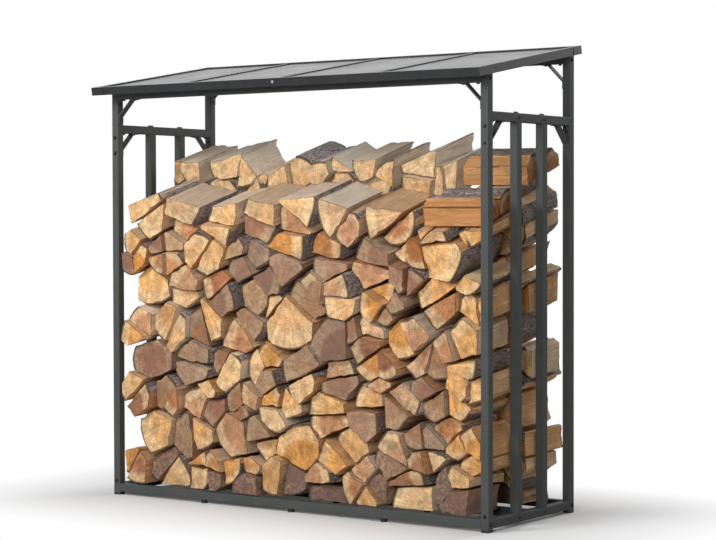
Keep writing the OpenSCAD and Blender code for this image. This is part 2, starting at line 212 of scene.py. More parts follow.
# Coated sheet: the same colour on flat sheet, smoother than on the tubes, so that it mirrors
# the sky at a low angle. Dust settles on it in drifts that run down the slope.
coated_sheet, tree = new_material("anthracite_coated_sheet")
place = add(tree, "TexCoord").outputs["Object"]
drift = add(tree, "Mapping", {"Scale": (26, 3, 3)}, Vector=place).outputs[0]
drift = add(tree, "TexNoise", {"Scale": 1, "Detail": 5, "Roughness": 0.6},
            Vector=drift).outputs["Fac"]
cloud = add(tree, "TexNoise", {"Scale": 5, "Detail": 5, "Roughness": 0.6},
            Vector=place).outputs["Fac"]
peel = add(tree, "TexNoise", {"Scale": 300, "Detail": 2}, Vector=place).outputs["Fac"]
dusty = add(tree, "MapRange", {"From Min": 0.4, "From Max": 0.75, "To Max": 0.2},
            Value=drift).outputs[0]
coat = add(tree, "Mix", {"data_type": "RGBA", 6: srgb("#2F3032"), 7: srgb("#3F4043")},
           _0=dusty).outputs[2]
satin = add(tree, "MapRange", {"From Min": 0.3, "From Max": 0.7, "To Min": 0.2, "To Max": 0.3},
            Value=cloud).outputs[0]
relief = add(tree, "Bump", {"Strength": 0.06, "Distance": 0.0003}, Height=peel).outputs[0]
surface = add(tree, "BsdfPrincipled", {"IOR": 1.42, "Metallic": 0.0},
              Base__Color=coat, Roughness=satin, Normal=relief).outputs[0]
add(tree, "OutputMaterial", None, Surface=surface)

roof_nodes = ["roof_fascia", "roof_back_edge", "roof_left_rake", "roof_right_rake",
              "roof_corner_plates", "roof_tray_1", "roof_tray_2", "roof_tray_3", "roof_tray_4"]
for name in roof_nodes:
    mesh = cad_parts[name].data
    mesh.materials.clear()
    mesh.materials.append(coated_sheet)

# ---- feet ----
# Black plastic feet keep the steel off the ground: a square one pushed into each post, and
# round ones screwed up into the base beams.

# Polyethylene: moulded, with a fine spark-eroded skin of about 0.3 mm, drawn 1 mm wide. It
# greys where it is scuffed and picks up dust near the ground.
black_plastic, tree = new_material("black_moulded_polyethylene")
place = add(tree, "TexCoord").outputs["Object"]
grit = add(tree, "TexNoise", {"Scale": 900, "Detail": 2}, Vector=place).outputs["Fac"]
scuff = add(tree, "TexNoise", {"Scale": 40, "Detail": 5, "Roughness": 0.7},
            Vector=place).outputs["Fac"]
worn = add(tree, "MapRange", {"From Min": 0.5, "From Max": 0.75, "To Max": 0.7},
           Value=scuff).outputs[0]
black = add(tree, "Mix", {"data_type": "RGBA", 6: srgb("#151617"), 7: srgb("#35332F")},
            _0=worn).outputs[2]
rough = add(tree, "MapRange", {"To Min": 0.5, "To Max": 0.75}, Value=scuff).outputs[0]
relief = add(tree, "Bump", {"Strength": 0.3, "Distance": 0.0003}, Height=grit).outputs[0]
surface = add(tree, "BsdfPrincipled", {"IOR": 1.51}, Base__Color=black, Roughness=rough,
              Normal=relief).outputs[0]
add(tree, "OutputMaterial", None, Surface=surface)
for name in ("post_feet", "base_feet"):
    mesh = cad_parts[name].data
    mesh.materials.clear()
    mesh.materials.append(black_plastic)

# ---- bolts ----
# M6 hexagon bolts with washers hold posts, beams and braces together, M5 ones hold the slats,
# and low round screws with a socket hold the roof's edge. They are blackened steel, but for
# one bright screw in the middle of the fascia.

# Blackened steel: zinc-plated and passivated black. Dark grey with a dull metal sheen that
# turns brownish where it has worn.
black_zinc, tree = new_material("black_passivated_zinc")
place = add(tree, "TexCoord").outputs["Object"]
wear = add(tree, "TexNoise", {"Scale": 160, "Detail": 4}, Vector=place).outputs["Fac"]
worn = add(tree, "MapRange", {"From Min": 0.45, "From Max": 0.7}, Value=wear).outputs[0]
metal = add(tree, "Mix", {"data_type": "RGBA", 6: srgb("#34363A"), 7: srgb("#5D5650")},
            _0=worn).outputs[2]
rough = add(tree, "MapRange", {"To Min": 0.35, "To Max": 0.6}, Value=wear).outputs[0]
surface = add(tree, "BsdfPrincipled", {"Metallic": 1.0}, Base__Color=metal,
              Roughness=rough).outputs[0]
add(tree, "OutputMaterial", None, Surface=surface)

bolt_head = 0.0050
washer_t = 0.0014
head_chamfer = 0.0009
washer_chamfer = 0.0004


def bolt(bm, at, facing, across=0.0100, washer=0.0170, head=bolt_head):
    """Washer and chamfered hexagon head on the surface point, facing outwards."""
    out = Vector(facing).normalized()
    stand = Matrix.Translation(at) @ out.to_track_quat("Z", "Y").to_matrix().to_4x4()
    bmesh.ops.create_cone(
        bm, cap_ends=True, segments=18, radius1=washer / 2, radius2=washer / 2 - washer_chamfer,
        depth=washer_t, matrix=stand @ Matrix.Translation((0, 0, washer_t / 2)))
    corner_radius = across / math.sqrt(3)
    made = bmesh.ops.create_cone(
        bm, cap_ends=True, segments=6, radius1=corner_radius, radius2=corner_radius,
        depth=head, matrix=stand @ Matrix.Translation((0, 0, washer_t + head / 2)))
    top = [e for e in dict.fromkeys(e for v in made["verts"] for e in v.link_edges)
           if min((v.co - Vector(at)).dot(out) for v in e.verts) > washer_t + head - 0.0002]
    bmesh.ops.bevel(
        bm, geom=top, offset=head_chamfer, offset_type="OFFSET", segments=1, profile=0.5,
        affect="EDGES", material=-1)


bm = bmesh.new()
post_lo, post_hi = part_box("post_front_left")
tube = post_hi.x - post_lo.x
post_x = -post_lo.x - tube / 2
post_y = -post_lo.y - tube / 2
beam_z = {-1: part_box("roof_front_beam"), 1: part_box("roof_back_beam")}
base_z = (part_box("base_front_beam")[0].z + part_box("base_front_beam")[1].z) / 2
rail_lo, rail_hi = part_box("right_rail")
rail_z = rail_hi.z - tube / 2
slat_lo, slat_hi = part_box("right_slats")
near_corner, far_tab = 0.020, 0.084
face_bolt_up = 0.029
for sx in (-1, 1):
    for sy in (-1, 1):
        side_x = sx * (post_x + tube / 2)
        face_y = sy * (post_y + tube / 2)
        beam_lo, beam_hi = beam_z[sy]
        bolt(bm, (side_x, sy * post_y, base_z), (sx, 0, 0))
        bolt(bm, (side_x, sy * post_y, (beam_lo.z + beam_hi.z) / 2), (sx, 0, 0))
        bolt(bm, (sx * post_x, face_y, base_z + face_bolt_up), (0, sy, 0))
        for drop in (near_corner, far_tab):
            bolt(bm, (sx * post_x, face_y, rail_lo.z - drop), (0, sy, 0))
            bolt(bm, (sx * (post_x - tube / 2), sy * post_y, beam_lo.z - drop), (-sx, 0, 0))
            bolt(bm, (sx * (post_x - tube / 2 - drop), sy * post_y, beam_lo.z), (0, 0, -1))
            bolt(bm, (sx * post_x, sy * (post_y - tube / 2), rail_lo.z - drop), (0, -sy, 0))
            bolt(bm, (sx * post_x, sy * (post_y - tube / 2 - drop), rail_lo.z), (0, 0, -1))
    for y in (slat_lo.y + tube / 2, slat_hi.y - tube / 2):
        for z in (base_z, rail_z):
            bolt(bm, (sx * (post_x + tube / 2), y, z), (sx, 0, 0),
                 across=0.0080, washer=0.0120, head=0.0030)


def button_screw(bm, node_name, start, toward, radius=0.0050, height=0.0014):
    """Low round head with a sunken middle, where a line from the start meets the sheet."""
    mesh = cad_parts[node_name].data
    tree = BVHTree.FromPolygons([v.co for v in mesh.vertices], [p.vertices for p in mesh.polygons])
    at, out = tree.ray_cast(Vector(start), Vector(toward))[:2]
    stand = Matrix.Translation(at) @ out.to_track_quat("Z", "Y").to_matrix().to_4x4()
    top_radius, socket_rim, socket_depth = 0.62 * radius, 0.28 * radius, 0.7 * height
    made = bmesh.ops.create_cone(
        bm, cap_ends=True, segments=20, radius1=radius, radius2=top_radius, depth=height,
        matrix=stand @ Matrix.Translation((0, 0, height / 2)))
    top = max({f for v in made["verts"] for f in v.link_faces},
              key=lambda f: (f.calc_center_median() - at).dot(out))
    bmesh.ops.inset_individual(bm, faces=[top], thickness=socket_rim)
    bmesh.ops.translate(bm, verts=top.verts, vec=-socket_depth * out)


fascia_lo, fascia_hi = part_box("roof_fascia")
edge_z = (fascia_lo.z + fascia_hi.z) / 2
rake_lo, rake_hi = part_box("roof_right_rake")
rake_rise = (beam_z[1][1].z - beam_z[-1][1].z) / (2 * post_y)
plate_in = 0.038
back_edge_z = edge_z + rake_rise * (rake_hi.y - rake_lo.y)
# The screws in the plates' sides lie flush, because nothing reaches past the plates.
flush, raised = 0.00004, 0.0014
for sx, rake in ((-1, "roof_left_rake"), (1, "roof_right_rake")):
    plate_x = sx * (rake_hi.x - plate_in)
    button_screw(bm, "roof_corner_plates", (plate_x, -1, edge_z), (0, 1, 0))
    button_screw(bm, "roof_corner_plates", (plate_x, 1, back_edge_z), (0, -1, 0))
    for y, node_name, height in (
            (rake_lo.y + plate_in, "roof_corner_plates", flush), (-post_y, rake, raised),
            (post_y, rake, raised), (rake_hi.y - plate_in, "roof_corner_plates", flush)):
        start = (sx * 1.2, y, edge_z + rake_rise * (y - fascia_lo.y))
        button_screw(bm, node_name, start, (-sx, 0, 0), height=height)
bolts = as_object("frame_bolts", bm, [black_zinc])
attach(bolts, "root")

# Bright zinc: one screw in the middle of the fascia, plated and left bright, so that it shines.
bright_zinc, tree = new_material("bright_zinc_plated_steel")
place = add(tree, "TexCoord").outputs["Object"]
wear = add(tree, "TexNoise", {"Scale": 220, "Detail": 4}, Vector=place).outputs["Fac"]
metal = add(tree, "Mix", {"data_type": "RGBA", 6: srgb("#D6D9DC"), 7: srgb("#B9B6AE")},
            _0=wear).outputs[2]
rough = add(tree, "MapRange", {"To Min": 0.25, "To Max": 0.45}, Value=wear).outputs[0]
surface = add(tree, "BsdfPrincipled", {"Metallic": 1.0}, Base__Color=metal,
              Roughness=rough).outputs[0]
add(tree, "OutputMaterial", None, Surface=surface)
bm = bmesh.new()
button_screw(bm, "roof_fascia", (0, -1, edge_z), (0, 1, 0), radius=0.0060, height=0.0022)
screw = as_object("fascia_screw", bm, [bright_zinc])
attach(screw, "root")


# ---- firewood ----
# Split hardwood of several kinds, sawn to about 30 cm and stacked in two rows. Each log is a
# half or a wedge of a round: rough sawn ends, torn split faces and, on its outside, the bark.

# Sawn end: end grain, cut across by a chainsaw and dried. It shows the heart and the paler
# sapwood, rays and a few drying cracks that run from the pith, and greys as it weathers. Its
# rings of 2 to 4 mm and the saw's marks of 3 mm are drawn 9 mm apart so that they show. Its
# rim is darkened by a painted shade.
sawn_end, tree = new_material("sawn_hardwood_end_grain")
own_look = add(tree, "Attribute", {"attribute_name": "log_look"}).outputs
look, fresh_and_painted_light = own_look["Color"], own_look["Alpha"]
tone, grey, kind = add(tree, "SeparateColor", None, Color=look).outputs
spot = add(tree, "Attribute", {"attribute_name": "grain_at"}).outputs["Vector"]
bark_r = add(tree, "Attribute", {"attribute_name": "bark_r"}).outputs["Fac"]
inner = add(tree, "Attribute", {"attribute_name": "inner"}).outputs["Fac"]
flat = add(tree, "VectorMath", {"operation": "MULTIPLY", 1: (1, 0, 1)}, _0=spot).outputs[0]
own = add(tree, "VectorMath", {"operation": "MULTIPLY_ADD", 1: (9.1, 7.3, 8.7)}, _0=look,
          _2=flat).outputs[0]
blotch = add(tree, "TexNoise", {"Scale": 24, "Detail": 4, "Roughness": 0.62},
             Vector=own).outputs["Fac"]
stain = add(tree, "TexNoise", {"Scale": 70, "Detail": 3, "Roughness": 0.65},
            Vector=own).outputs["Fac"]
fine = add(tree, "TexNoise", {"Scale": 210, "Detail": 3, "Roughness": 0.7},
           Vector=own).outputs["Fac"]
radius = add(tree, "VectorMath", {"operation": "LENGTH"}, _0=flat).outputs["Value"]
wavy = add(tree, "Math", {"operation": "MULTIPLY_ADD", 1: 0.024}, _0=blotch, _2=radius).outputs[0]
ring_step = 0.009
ring = add(tree, "Math", {"operation": "MULTIPLY", 1: 2 * math.pi / ring_step},
           _0=wavy).outputs[0]
ring = add(tree, "Math", {"operation": "SINE"}, _0=ring).outputs[0]
ring = add(tree, "MapRange", {"From Min": -1, "From Max": 1, "To Min": 0.82, "To Max": 1.03},
           Value=ring).outputs[0]
outward = add(tree, "VectorMath", {"operation": "NORMALIZE"}, _0=flat).outputs[0]
outward = add(tree, "VectorMath", {"operation": "MULTIPLY_ADD", 1: (31, 23, 37)}, _0=look,
              _2=outward).outputs[0]
ray = add(tree, "TexNoise", {"Scale": 8, "Detail": 5, "Roughness": 0.75},
          Vector=outward).outputs["Fac"]
split = add(tree, "TexNoise", {"Scale": 2.6, "Detail": 2}, Vector=outward).outputs["Fac"]
split = add(tree, "Math", {"operation": "SUBTRACT", 1: 0.5}, _0=split).outputs[0]
split = add(tree, "Math", {"operation": "ABSOLUTE"}, _0=split).outputs[0]
split = add(tree, "MapRange", {"From Min": 0.001, "From Max": 0.007, "To Min": 1, "To Max": 0},
            Value=split).outputs[0]
open_crack = add(tree, "MapRange", {"From Min": 0.52, "From Max": 0.62, "To Max": 0.6},
                 Value=stain).outputs[0]
dry = add(tree, "MapRange", {"From Min": 0.6, "From Max": 0.9}, Value=kind).outputs[0]
crack = add(tree, "Math", {"operation": "MULTIPLY"}, _0=split, _1=open_crack).outputs[0]
crack = add(tree, "Math", {"operation": "MULTIPLY"}, _0=crack, _1=dry).outputs[0]
heading = add(tree, "Math", {"operation": "MULTIPLY", 1: 9.0}, _0=kind).outputs[0]
turned = add(tree, "VectorRotate", {"rotation_type": "Y_AXIS"}, Vector=own,
             Angle=heading).outputs[0]
saw = add(tree, "TexWave", {"Scale": 35, "Distortion": 3.0, "Detail": 2, "Detail Scale": 1.5},
          Vector=turned).outputs["Fac"]
heart_edge = add(tree, "Math", {"operation": "MULTIPLY", 1: 0.66}, _0=bark_r).outputs[0]
from_heart = add(tree, "Math", {"operation": "SUBTRACT"}, _0=wavy, _1=heart_edge).outputs[0]
sap = add(tree, "MapRange",
          {"From Min": 0.002, "From Max": 0.028, "interpolation_type": "SMOOTHSTEP"},
          Value=from_heart).outputs[0]
ramp = add(tree, "ValToRGB", None, Fac=tone)
stops = [(0.0, "#B46A30"), (0.1, "#DC9244"), (0.22, "#F0AC5E"), (0.34, "#FBC888"),
         (0.46, "#E69C4E"), (0.56, "#FDD29A"), (0.66, "#DC965C"), (0.76, "#BC7850"),
         (0.86, "#EEB584"), (0.94, "#9A6442"), (1.0, "#BA865E")]
while len(ramp.color_ramp.elements) < len(stops):
    ramp.color_ramp.elements.new(0.5)
for element, (at, code) in zip(ramp.color_ramp.elements, stops):
    element.position = at
    element.color = srgb(code)
# Pale new-cut colour: random on most logs, painted light on the top logs
fresh_and_painted_light_share = add(tree, "Math", {"operation": "MULTIPLY", 1: 0.45}, _0=fresh_and_painted_light).outputs[0]
heartwood = add(tree, "Mix", {"data_type": "RGBA", 7: srgb("#FFE1B6")}, _0=fresh_and_painted_light_share,
                _6=ramp.outputs["Color"]).outputs[2]
sapwood = add(tree, "Mix", {"data_type": "RGBA", 0: 0.6, 7: srgb("#FAD8A6")},
              _6=heartwood).outputs[2]
wood = add(tree, "Mix", {"data_type": "RGBA"}, _0=sap, _6=heartwood, _7=sapwood).outputs[2]
tints = [(blotch, 0.58, 1.3), (stain, 0.78, 1.16), (ray, 0.64, 1.22), (fine, 0.93, 1.06)]
for pattern, low, high in tints:
    factor = add(
        tree, "MapRange", {"From Min": 0.3, "From Max": 0.7, "To Min": low, "To Max": high},
        Value=pattern).outputs[0]
    wood = add(tree, "VectorMath", {"operation": "SCALE"}, _0=wood, Scale=factor).outputs[0]
marks = add(tree, "MapRange", {"To Min": 0.93, "To Max": 1.03}, Value=saw).outputs[0]
for factor in (ring, marks):
    wood = add(tree, "VectorMath", {"operation": "SCALE"}, _0=wood, Scale=factor).outputs[0]
patchy = add(tree, "MapRange", {"From Min": 0.3, "From Max": 0.6, "To Min": 0.5, "To Max": 1.0},
             Value=stain).outputs[0]
greyed = add(tree, "Math", {"operation": "MULTIPLY"}, _0=patchy, _1=grey).outputs[0]
weather = add(tree, "Mix", {"data_type": "RGBA", 6: srgb("#8C7166"), 7: srgb("#553F38")},
              _0=stain).outputs[2]
wood = add(tree, "Mix", {"data_type": "RGBA"}, _0=greyed, _6=wood, _7=weather).outputs[2]
wood = add(tree, "Mix", {"data_type": "RGBA", 7: srgb("#3A2114")}, _0=crack, _6=wood).outputs[2]
to_bark = add(tree, "Math", {"operation": "SUBTRACT"}, _0=bark_r, _1=radius).outputs[0]
bark_ring = add(
    tree, "MapRange", {"From Min": 0.003, "From Max": 0.0065, "To Min": 0.85, "To Max": 0},
    Value=to_bark).outputs[0]
wood = add(tree, "Mix", {"data_type": "RGBA", 7: srgb("#4A3728")}, _0=bark_ring,
           _6=wood).outputs[2]
# Painted shade: the end darkens towards its rim, like the shade in the gaps between the logs
rim_painted_shade = add(tree, "MapRange", {"From Min": 0.1, "From Max": 0.9, "To Min": 0.95, "To Max": 0},
          Value=inner).outputs[0]
wood = add(tree, "Mix", {"data_type": "RGBA", 7: srgb("#3A2416")}, _0=rim_painted_shade, _6=wood).outputs[2]
height = add(tree, "Math", {"operation": "MULTIPLY_ADD", 1: 0.6}, _0=ray, _2=fine).outputs[0]
height = add(tree, "Math", {"operation": "MULTIPLY_ADD", 1: 0.5}, _0=saw, _2=height).outputs[0]
height = add(tree, "Math", {"operation": "SUBTRACT"}, _0=height, _1=crack).outputs[0]
relief = add(tree, "Bump", {"Strength": 0.55, "Distance": 0.002}, Height=height).outputs[0]
surface = add(tree, "BsdfPrincipled", {"IOR": 1.45, "Roughness": 0.85}, Base__Color=wood,
              Normal=relief).outputs[0]
add(tree, "OutputMaterial", None, Surface=surface)

# Split face: wood torn along its fibres by the axe. Pale and fresh or grey with age, with
# long fibres; those of 0.5 mm are drawn 3 mm wide, in bundles of about 14 mm. On the top
# logs the paleness is partly painted light.
split_face, tree = new_material("split_hardwood_face")
own_look = add(tree, "Attribute", {"attribute_name": "log_look"}).outputs
look, fresh_and_painted_light = own_look["Color"], own_look["Alpha"]
tone, grey = add(tree, "SeparateColor", None, Color=look).outputs[:2]
spot = add(tree, "Attribute", {"attribute_name": "grain_at"}).outputs["Vector"]
own = add(tree, "VectorMath", {"operation": "MULTIPLY_ADD", 1: (9.1, 7.3, 8.7)}, _0=look,
          _2=spot).outputs[0]
bend = add(tree, "TexNoise", {"Scale": 11, "Detail": 2}, Vector=own).outputs["Color"]
bent = add(tree, "VectorMath", {"operation": "MULTIPLY_ADD", 1: (0.014, 0, 0.014)}, _0=bend,
           _2=own).outputs[0]
long_way = add(tree, "Mapping", {"Scale": (1, 0.05, 1)}, Vector=bent).outputs[0]
bundle = add(tree, "TexNoise", {"Scale": 70, "Detail": 4, "Roughness": 0.6, "Distortion": 0.9},
             Vector=long_way).outputs["Fac"]
fibre = add(tree, "TexNoise", {"Scale": 330, "Detail": 3, "Roughness": 0.6},
            Vector=long_way).outputs["Fac"]
blotch = add(tree, "TexNoise", {"Scale": 16, "Detail": 3}, Vector=own).outputs["Fac"]
ramp = add(tree, "ValToRGB", None, Fac=tone)
stops = [(0.0, "#D69250"), (0.2, "#F2B87A"), (0.4, "#FBCC94"), (0.55, "#ECA45E"), (0.7, "#F8C892"),
         (0.82, "#D68E56"), (1.0, "#E0AA7A")]
while len(ramp.color_ramp.elements) < len(stops):
    ramp.color_ramp.elements.new(0.5)
for element, (at, code) in zip(ramp.color_ramp.elements, stops):
    element.position = at
    element.color = srgb(code)
wood = add(tree, "Mix", {"data_type": "RGBA", 7: srgb("#FFF0DA")}, _0=fresh_and_painted_light,
           _6=ramp.outputs["Color"]).outputs[2]
strand = add(tree, "Math", {"operation": "SUBTRACT", 1: 0.5}, _0=bundle).outputs[0]
strand = add(tree, "Math", {"operation": "ABSOLUTE"}, _0=strand).outputs[0]
strand = add(tree, "MapRange", {"From Max": 0.06, "To Min": 0.72, "To Max": 1.03},
             Value=strand).outputs[0]
dark = add(tree, "MapRange", {"From Min": 0.32, "From Max": 0.62, "To Min": 0.84, "To Max": 1.1},
           Value=bundle).outputs[0]
thin = add(tree, "MapRange", {"From Min": 0.3, "From Max": 0.7, "To Min": 0.86, "To Max": 1.08},
           Value=fibre).outputs[0]
shade = add(tree, "MapRange", {"From Min": 0.3, "From Max": 0.7, "To Min": 0.84, "To Max": 1.1},
            Value=blotch).outputs[0]
for factor in (strand, dark, thin, shade):
    wood = add(tree, "VectorMath", {"operation": "SCALE"}, _0=wood, Scale=factor).outputs[0]
# Paler still by the same value: painted light on the top logs
paler = add(tree, "Math", {"operation": "MULTIPLY", 1: 0.55}, _0=fresh_and_painted_light).outputs[0]
wood = add(tree, "Mix", {"data_type": "RGBA", 7: srgb("#FFF0DA")}, _0=paler, _6=wood).outputs[2]
patchy = add(tree, "MapRange", {"From Min": 0.35, "From Max": 0.6, "To Min": 0.4, "To Max": 1.0},
             Value=blotch).outputs[0]
greyed = add(tree, "Math", {"operation": "MULTIPLY"}, _0=patchy, _1=grey).outputs[0]
weather = add(tree, "Mix", {"data_type": "RGBA", 6: srgb("#9E8678"), 7: srgb("#72564A")},
              _0=bundle).outputs[2]
wood = add(tree, "Mix", {"data_type": "RGBA"}, _0=greyed, _6=wood, _7=weather).outputs[2]
height = add(tree, "Math", {"operation": "MULTIPLY_ADD", 1: 2.0}, _0=bundle, _2=fibre).outputs[0]
height = add(tree, "Math", {"operation": "ADD"}, _0=height, _1=strand).outputs[0]
relief = add(tree, "Bump", {"Strength": 0.8, "Distance": 0.0025}, Height=height).outputs[0]
surface = add(tree, "BsdfPrincipled", {"IOR": 1.45, "Roughness": 0.8}, Base__Color=wood,
              Normal=relief).outputs[0]
add(tree, "OutputMaterial", None, Surface=surface)

# Bark: grown and dried on the log. Ridged plates 10 to 15 mm wide between dark furrows that
# run along the log, grey-brown to purplish grey, with pale lichen. On the top logs the
# plates are paler, a painted light.
bark, tree = new_material("dry_furrowed_bark")
own_look = add(tree, "Attribute", {"attribute_name": "log_look"}).outputs
look, fresh_and_painted_light = own_look["Color"], own_look["Alpha"]
kind = add(tree, "SeparateColor", None, Color=look).outputs["Blue"]
spot = add(tree, "Attribute", {"attribute_name": "grain_at"}).outputs["Vector"]
own = add(tree, "VectorMath", {"operation": "MULTIPLY_ADD", 1: (9.1, 7.3, 8.7)}, _0=look,
          _2=spot).outputs[0]
bend = add(tree, "TexNoise", {"Scale": 30, "Detail": 3}, Vector=own).outputs["Color"]
bent = add(tree, "VectorMath", {"operation": "MULTIPLY_ADD", 1: (0.03, 0.05, 0.03)}, _0=bend,
           _2=own).outputs[0]
long_way = add(tree, "Mapping", {"Scale": (1, 0.17, 1)}, Vector=bent).outputs[0]
furrow = add(tree, "TexVoronoi", {"feature": "DISTANCE_TO_EDGE", "Scale": 85},
             Vector=long_way).outputs["Distance"]
furrow = add(tree, "MapRange", {"From Min": 0.0, "From Max": 0.11}, Value=furrow).outputs[0]
flakes = add(tree, "TexNoise", {"Scale": 140, "Detail": 4, "Roughness": 0.7},
                  Vector=bent).outputs["Fac"]
blotch = add(tree, "TexNoise", {"Scale": 14, "Detail": 3}, Vector=own).outputs["Fac"]
plates = add(tree, "Mix", {"data_type": "RGBA", 6: srgb("#8C7A6E"), 7: srgb("#A79A96")},
             _0=kind).outputs[2]
# Plates paler on the top logs: painted light
plates = add(tree, "Mix", {"data_type": "RGBA", 7: srgb("#D6CAC6")}, _0=fresh_and_painted_light,
             _6=plates).outputs[2]
pale = add(tree, "MapRange", {"From Min": 0.5, "From Max": 0.7, "To Max": 0.6},
           Value=blotch).outputs[0]
plates = add(tree, "Mix", {"data_type": "RGBA", 7: srgb("#DBD1CA")}, _0=pale, _6=plates).outputs[2]
shade = add(tree, "MapRange", {"From Min": 0.3, "From Max": 0.7, "To Min": 0.78, "To Max": 1.15},
            Value=flakes).outputs[0]
plates = add(tree, "VectorMath", {"operation": "SCALE"}, _0=plates, Scale=shade).outputs[0]
rind = add(tree, "Mix", {"data_type": "RGBA", 6: srgb("#54443B")}, _0=furrow, _7=plates).outputs[2]
height = add(tree, "Math", {"operation": "MULTIPLY_ADD", 1: 0.4}, _0=flakes,
             _2=furrow).outputs[0]
relief = add(tree, "Bump", {"Strength": 0.7, "Distance": 0.0025}, Height=height).outputs[0]
surface = add(tree, "BsdfPrincipled", {"IOR": 1.45, "Roughness": 0.9}, Base__Color=rind,
              Normal=relief).outputs[0]
add(tree, "OutputMaterial", None, Surface=surface)

# The order of the materials on a log
end_slot, split_slot, bark_slot = 0, 1, 2
log_corner = 0.0035
corner_angle = math.radians(25)
hard_angle = math.radians(50)
lengthwise_cuts = 14
girth_step = 0.008
# The least and the most that a log is slimmer, and the most that its front end stands back,
# that its ends slant and that it leans
shrink_least, shrink_most = 0.0010, 0.0048
front_play = 0.042
end_slant = 0.1
log_lean = 0.006
# A sawn end: how far its two loops lie in from the rim, how uneven it is, and how far the rim
# is worn back and how much that varies
loop_in = {0: 0, 0.5: 0.0014, 1: 0.0045}
end_unevenness = 0.0010
rim_wear, rim_wear_play = 0.0022, 0.0014
# Relief of bark and of a split face: two layers of noise, each with its height and its scales
# across and along the log, then the most that it stands out and how deep the face is sunk
bark_relief = ((0.0022, 70, 9), (0.0020, 24, 8), 0.0008, 0.0005)
split_relief = ((0.0022, 80, 6), (0.0105, 24, 4), 0.0004, 0.0012)


def bark_arc(outline):
    """Centre and radius of the arc that rounds a log's outline off, and the edges on it. An
    arc is a run of short edges, all of one length and each turned as far from the last."""
    longest, unevenness = 0.022, 0.02
    least_turn, most_turn = math.radians(1.5), math.radians(9)
    count = len(outline)
    edges = [outline[(k + 1) % count] - outline[k] for k in range(count)]
    turns = [abs(edges[k - 1].angle_signed(edges[k], 0)) for k in range(count)]
    lengths = [edge.length for edge in edges]
    bends = [
        k for k in range(count)
        if lengths[k] < longest and abs(lengths[k] - lengths[k - 1]) < unevenness * lengths[k]
        and least_turn < turns[k] < most_turn]
    if not bends:
        return None, 0.0, []
    first = bends[0]
    radius = lengths[first] / 2 / math.sin(turns[first] / 2)
    inward = (edges[first] - edges[first - 1]).normalized()
    on_arc = sorted({e % count for k in bends for e in (k - 1, k)})
    return outline[first] + inward * radius, radius, on_arc


def log_tint(dice, laid_across, height, at_right):
    """Tone, greyness, kind of bark and paleness of one log. Some logs are fresh and pale at
    random, and the ones near the ground are greyer. The top ones are given pale tones and
    little grey, and the ones at the right end bright tones and little grey: painted light on
    the top and the right end of the stack. The ones laid across are golden."""
    if laid_across:
        return dice.uniform(0.0, 0.1), dice.uniform(0.12, 0.3), dice.random(), 0.0
    # Logs are greyer the nearer they lie to the ground
    low_height, top_height, top_blend = 0.3, 0.95, 0.3
    near_ground = max(0, 1 - height / low_height)
    on_top = min(1, max(0, (height - top_height) / top_blend))
    age = dice.random()
    old = 0.5 if age > 0.64 else 0
    grey = min(1, 0.35 * age + old) * (0.95 + 0.5 * near_ground) * (1 - 0.8 * on_top)
    fresh_and_painted_light = 0.45 * on_top + (1 - 0.45 * on_top) * dice.random() ** (3.5 - 2.7 * on_top)
    # Painted light: the top logs and the logs at the right end get brighter tones
    tone = dice.random()
    tone += on_top * (0.25 + 0.35 * tone - tone)
    tone += at_right * (0.15 + 0.3 * tone - tone)
    fresh_and_painted_light *= 1 - 0.6 * at_right
    return tone, grey * (1 - 0.5 * on_top) * (1 - 0.85 * at_right), dice.random(), fresh_and_painted_light


def linked_verts(start, seen):
    """The vertices of the log that the start lies on. They are added to those seen."""
    group, front = [start], [start]
    seen.add(start)
    while front:
        vert = front.pop()
        for edge in vert.link_edges:
            other = edge.other_vert(vert)
            if other not in seen:
                seen.add(other)
                group.append(other)
                front.append(other)
    return group


